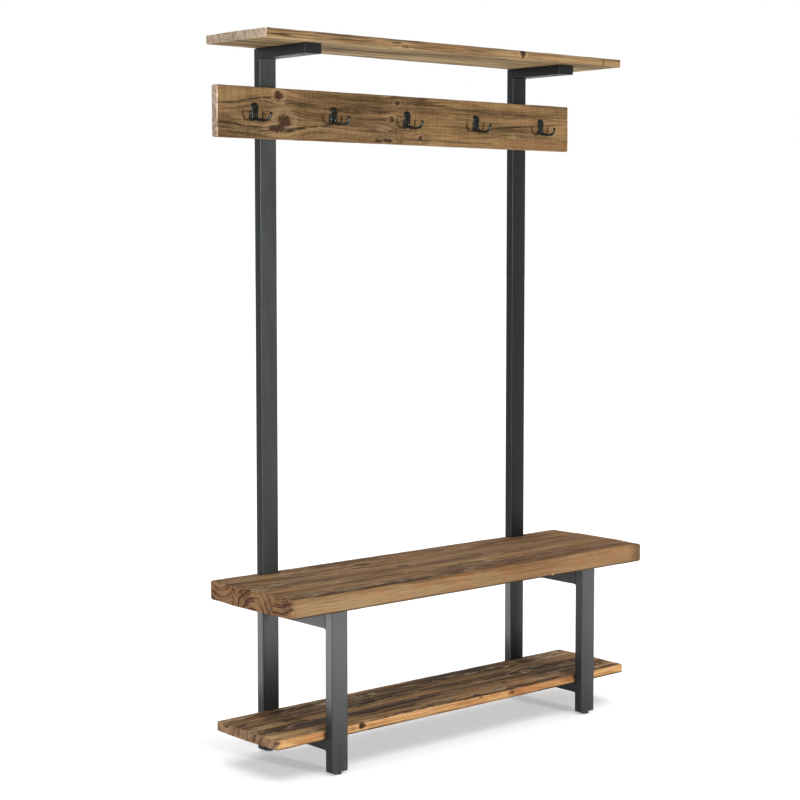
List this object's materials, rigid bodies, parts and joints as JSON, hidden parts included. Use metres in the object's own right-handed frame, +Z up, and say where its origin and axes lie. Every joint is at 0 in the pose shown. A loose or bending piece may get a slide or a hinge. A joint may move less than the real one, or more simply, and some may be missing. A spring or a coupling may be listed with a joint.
{
  "type": "entryway bench",
  "caption": "Hall tree with a bench seat, a shoe shelf, a rail of double-prong coat hooks and a top shelf of solid wood on two welded steel side frames with levelling feet.",
  "frame": {"origin": "on the floor under the middle of the whole object", "axes": "+Z up, +X to the sitter's right seen from the front, +Y to the rear, towards the wall"},
  "size_m": [1.219, 0.34, 1.788],
  "materials": {
    "frame_steel": "satin charcoal paint",
    "foot_plastic": "black moulded plastic",
    "fastener_steel": "zinc plated",
    "seat_wood": "oiled reclaimed pine, matt",
    "shelf_wood": "oiled reclaimed pine, matt",
    "top_shelf_wood": "oiled reclaimed pine, matt",
    "rail_wood": "oiled reclaimed pine, matt",
    "hook_bronze": "dark antique bronze"
  },
  "bodies": {
    "bench": {"left_post": "frame_steel", "left_leg": "frame_steel", "left_seat_bearer": "frame_steel", "left_shelf_bearer": "frame_steel", "left_top_arm": "frame_steel", "left_arm_cap": "frame_steel", "right_post": "frame_steel", "right_leg": "frame_steel", "right_seat_bearer": "frame_steel", "right_shelf_bearer": "frame_steel", "right_top_arm": "frame_steel", "right_arm_cap": "frame_steel", "front_left_foot_insert": "foot_plastic", "front_right_foot_insert": "foot_plastic", "rear_left_foot_insert": "foot_plastic", "rear_right_foot_insert": "foot_plastic", "front_left_seat_bolt": "fastener_steel", "front_left_shelf_bolt": "fastener_steel", "front_left_top_shelf_bolt": "fastener_steel", "front_right_seat_bolt": "fastener_steel", "front_right_shelf_bolt": "fastener_steel", "front_right_top_shelf_bolt": "fastener_steel", "rear_left_seat_bolt": "fastener_steel", "rear_left_shelf_bolt": "fastener_steel", "rear_left_top_shelf_bolt": "fastener_steel", "rear_right_seat_bolt": "fastener_steel", "rear_right_shelf_bolt": "fastener_steel", "rear_right_top_shelf_bolt": "fastener_steel", "upper_left_rail_bolt": "fastener_steel", "upper_right_rail_bolt": "fastener_steel", "lower_left_rail_bolt": "fastener_steel", "lower_right_rail_bolt": "fastener_steel", "seat_stave_1": "seat_wood", "seat_stave_2": "seat_wood", "seat_stave_3": "seat_wood", "seat_stave_4": "seat_wood", "shelf_stave_1": "shelf_wood", "shelf_stave_2": "shelf_wood", "shelf_stave_3": "shelf_wood", "top_shelf_stave_1": "top_shelf_wood", "top_shelf_stave_2": "top_shelf_wood", "top_shelf_stave_3": "top_shelf_wood", "top_shelf_stave_4": "top_shelf_wood", "hook_rail": "rail_wood", "coat_hook_1": "hook_bronze", "coat_hook_2": "hook_bronze", "coat_hook_3": "hook_bronze", "coat_hook_4": "hook_bronze", "coat_hook_5": "hook_bronze"},
    "front_left_foot": {"front_left_foot_stem": "fastener_steel", "front_left_foot_pad": "foot_plastic"},
    "front_right_foot": {"front_right_foot_stem": "fastener_steel", "front_right_foot_pad": "foot_plastic"},
    "rear_left_foot": {"rear_left_foot_stem": "fastener_steel", "rear_left_foot_pad": "foot_plastic"},
    "rear_right_foot": {"rear_right_foot_stem": "fastener_steel", "rear_right_foot_pad": "foot_plastic"}
  },
  "joints": [
    {"name": "front_left_foot_screw", "type": "slide", "parent": "bench", "child": "front_left_foot", "axis": [0, 0, -1], "range_m": [0, 0.01]},
    {"name": "front_right_foot_screw", "type": "slide", "parent": "bench", "child": "front_right_foot", "axis": [0, 0, -1], "range_m": [0, 0.01]},
    {"name": "rear_left_foot_screw", "type": "slide", "parent": "bench", "child": "rear_left_foot", "axis": [0, 0, -1], "range_m": [0, 0.01]},
    {"name": "rear_right_foot_screw", "type": "slide", "parent": "bench", "child": "rear_right_foot", "axis": [0, 0, -1], "range_m": [0, 0.01]}
  ]
}
